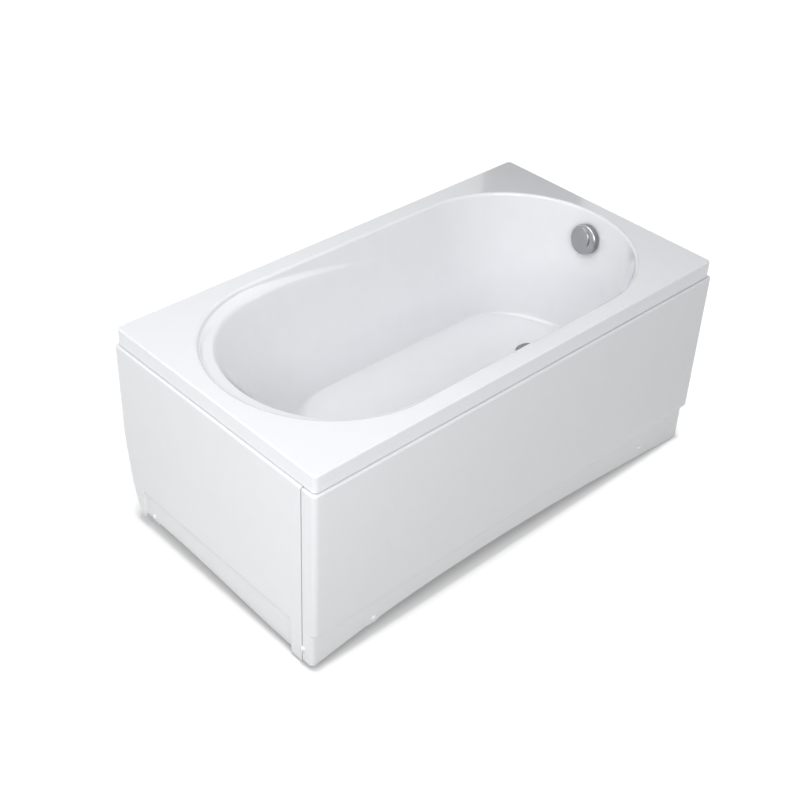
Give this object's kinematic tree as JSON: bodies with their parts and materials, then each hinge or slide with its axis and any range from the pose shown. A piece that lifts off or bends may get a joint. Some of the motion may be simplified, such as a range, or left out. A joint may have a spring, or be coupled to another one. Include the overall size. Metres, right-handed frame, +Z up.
{
  "type": "alcove bathtub",
  "caption": "Rectangular alcove bathtub with a rounded basin, front and end panels on a steel frame, and a turn-knob waste and overflow.",
  "frame": {"origin": "on the floor, under the middle of the rim", "axes": "+X along the tub to its waste end, +Y to the wall behind it, +Z up"},
  "size_m": [1.3175, 0.7065, 0.56],
  "materials": {
    "shell": "glossy white acrylic",
    "panel": "glossy white moulded sheet",
    "cap": "glossy white",
    "frame": "grey powder coat, satin",
    "zinc": "zinc plated",
    "timber": "raw",
    "pad": "matte black",
    "chrome": "polished",
    "rosette": "glossy",
    "gasket": "matte",
    "pipe": "satin white",
    "hose": "satin light grey",
    "cable": "satin dark grey",
    "crank": "machined"
  },
  "bodies": {
    "tub": {"cable_sheath": "cable", "corner_post_head_back": "frame", "corner_post_head_near": "frame", "corner_post_waste_back": "frame", "corner_post_waste_near": "frame", "cross_beam_head": "frame", "cross_beam_middle": "frame", "cross_beam_waste": "frame", "drain_body": "pipe", "drain_flange": "chrome", "drain_gasket": "gasket", "end_beam_head": "frame", "end_beam_waste": "frame", "end_bracket_back": "zinc", "end_bracket_seam": "zinc", "end_caps": "cap", "end_panel": "panel", "end_screws": "zinc", "floor_board": "timber", "front_bracket_head": "zinc", "front_bracket_waste": "zinc", "front_caps": "cap", "front_panel": "panel", "front_screws": "zinc", "hose_nut_bottom": "pipe", "hose_nut_top": "pipe", "lock_nuts": "zinc", "outlet_nut": "pipe", "outlet_pipe": "pipe", "overflow_body": "pipe", "overflow_gasket": "gasket", "overflow_hose": "hose", "overflow_plate": "rosette", "rail_back": "frame", "rail_front": "frame", "rim_batten_back": "timber", "rim_batten_front": "timber", "rim_batten_head": "timber", "rim_batten_waste": "timber", "trap_body": "pipe", "trap_nut": "pipe", "tub_shell": "shell"},
    "knob": {"overflow_knob": "chrome", "knob_crank": "crank"},
    "plug": {"plug_cap": "chrome", "plug_seal": "gasket", "plug_stem": "crank"},
    "lever": {"lift_lever": "crank"},
    "foot_head_near": {"foot_pad_head_near": "pad", "foot_stud_head_near": "zinc"},
    "foot_head_back": {"foot_pad_head_back": "pad", "foot_stud_head_back": "zinc"},
    "foot_waste_near": {"foot_pad_waste_near": "pad", "foot_stud_waste_near": "zinc"},
    "foot_waste_back": {"foot_pad_waste_back": "pad", "foot_stud_waste_back": "zinc"},
    "foot_middle": {"foot_pad_middle": "pad", "foot_stud_middle": "zinc"}
  },
  "joints": [
    {"name": "knob_turn", "type": "hinge", "parent": "tub", "child": "knob", "pos_m": [0.59382, 0, 0.488], "axis": [-0.9851, 0, 0.172], "range_deg": [0, 75]},
    {"name": "plug_lift", "type": "slide", "parent": "tub", "child": "plug", "axis": [0, 0, 1], "range_m": [0, 0.0101]},
    {"name": "lever_turn", "type": "hinge", "parent": "tub", "child": "lever", "pos_m": [0.43, 0, 0.152], "axis": [0, 1, 0], "range_deg": [0, 18.2]},
    {"name": "foot_head_near_screw", "type": "slide", "parent": "tub", "child": "foot_head_near", "axis": [0, 0, -1], "range_m": [0, 0.025]},
    {"name": "foot_head_back_screw", "type": "slide", "parent": "tub", "child": "foot_head_back", "axis": [0, 0, -1], "range_m": [0, 0.025]},
    {"name": "foot_waste_near_screw", "type": "slide", "parent": "tub", "child": "foot_waste_near", "axis": [0, 0, -1], "range_m": [0, 0.025]},
    {"name": "foot_waste_back_screw", "type": "slide", "parent": "tub", "child": "foot_waste_back", "axis": [0, 0, -1], "range_m": [0, 0.025]},
    {"name": "foot_middle_screw", "type": "slide", "parent": "tub", "child": "foot_middle", "axis": [0, 0, -1], "range_m": [0, 0.025]}
  ],
  "couplings": [
    {"joint": "plug_lift", "follows": "knob_turn", "m_per_rad": 0.0076394},
    {"joint": "lever_turn", "follows": "knob_turn", "ratio": 0.24064}
  ]
}
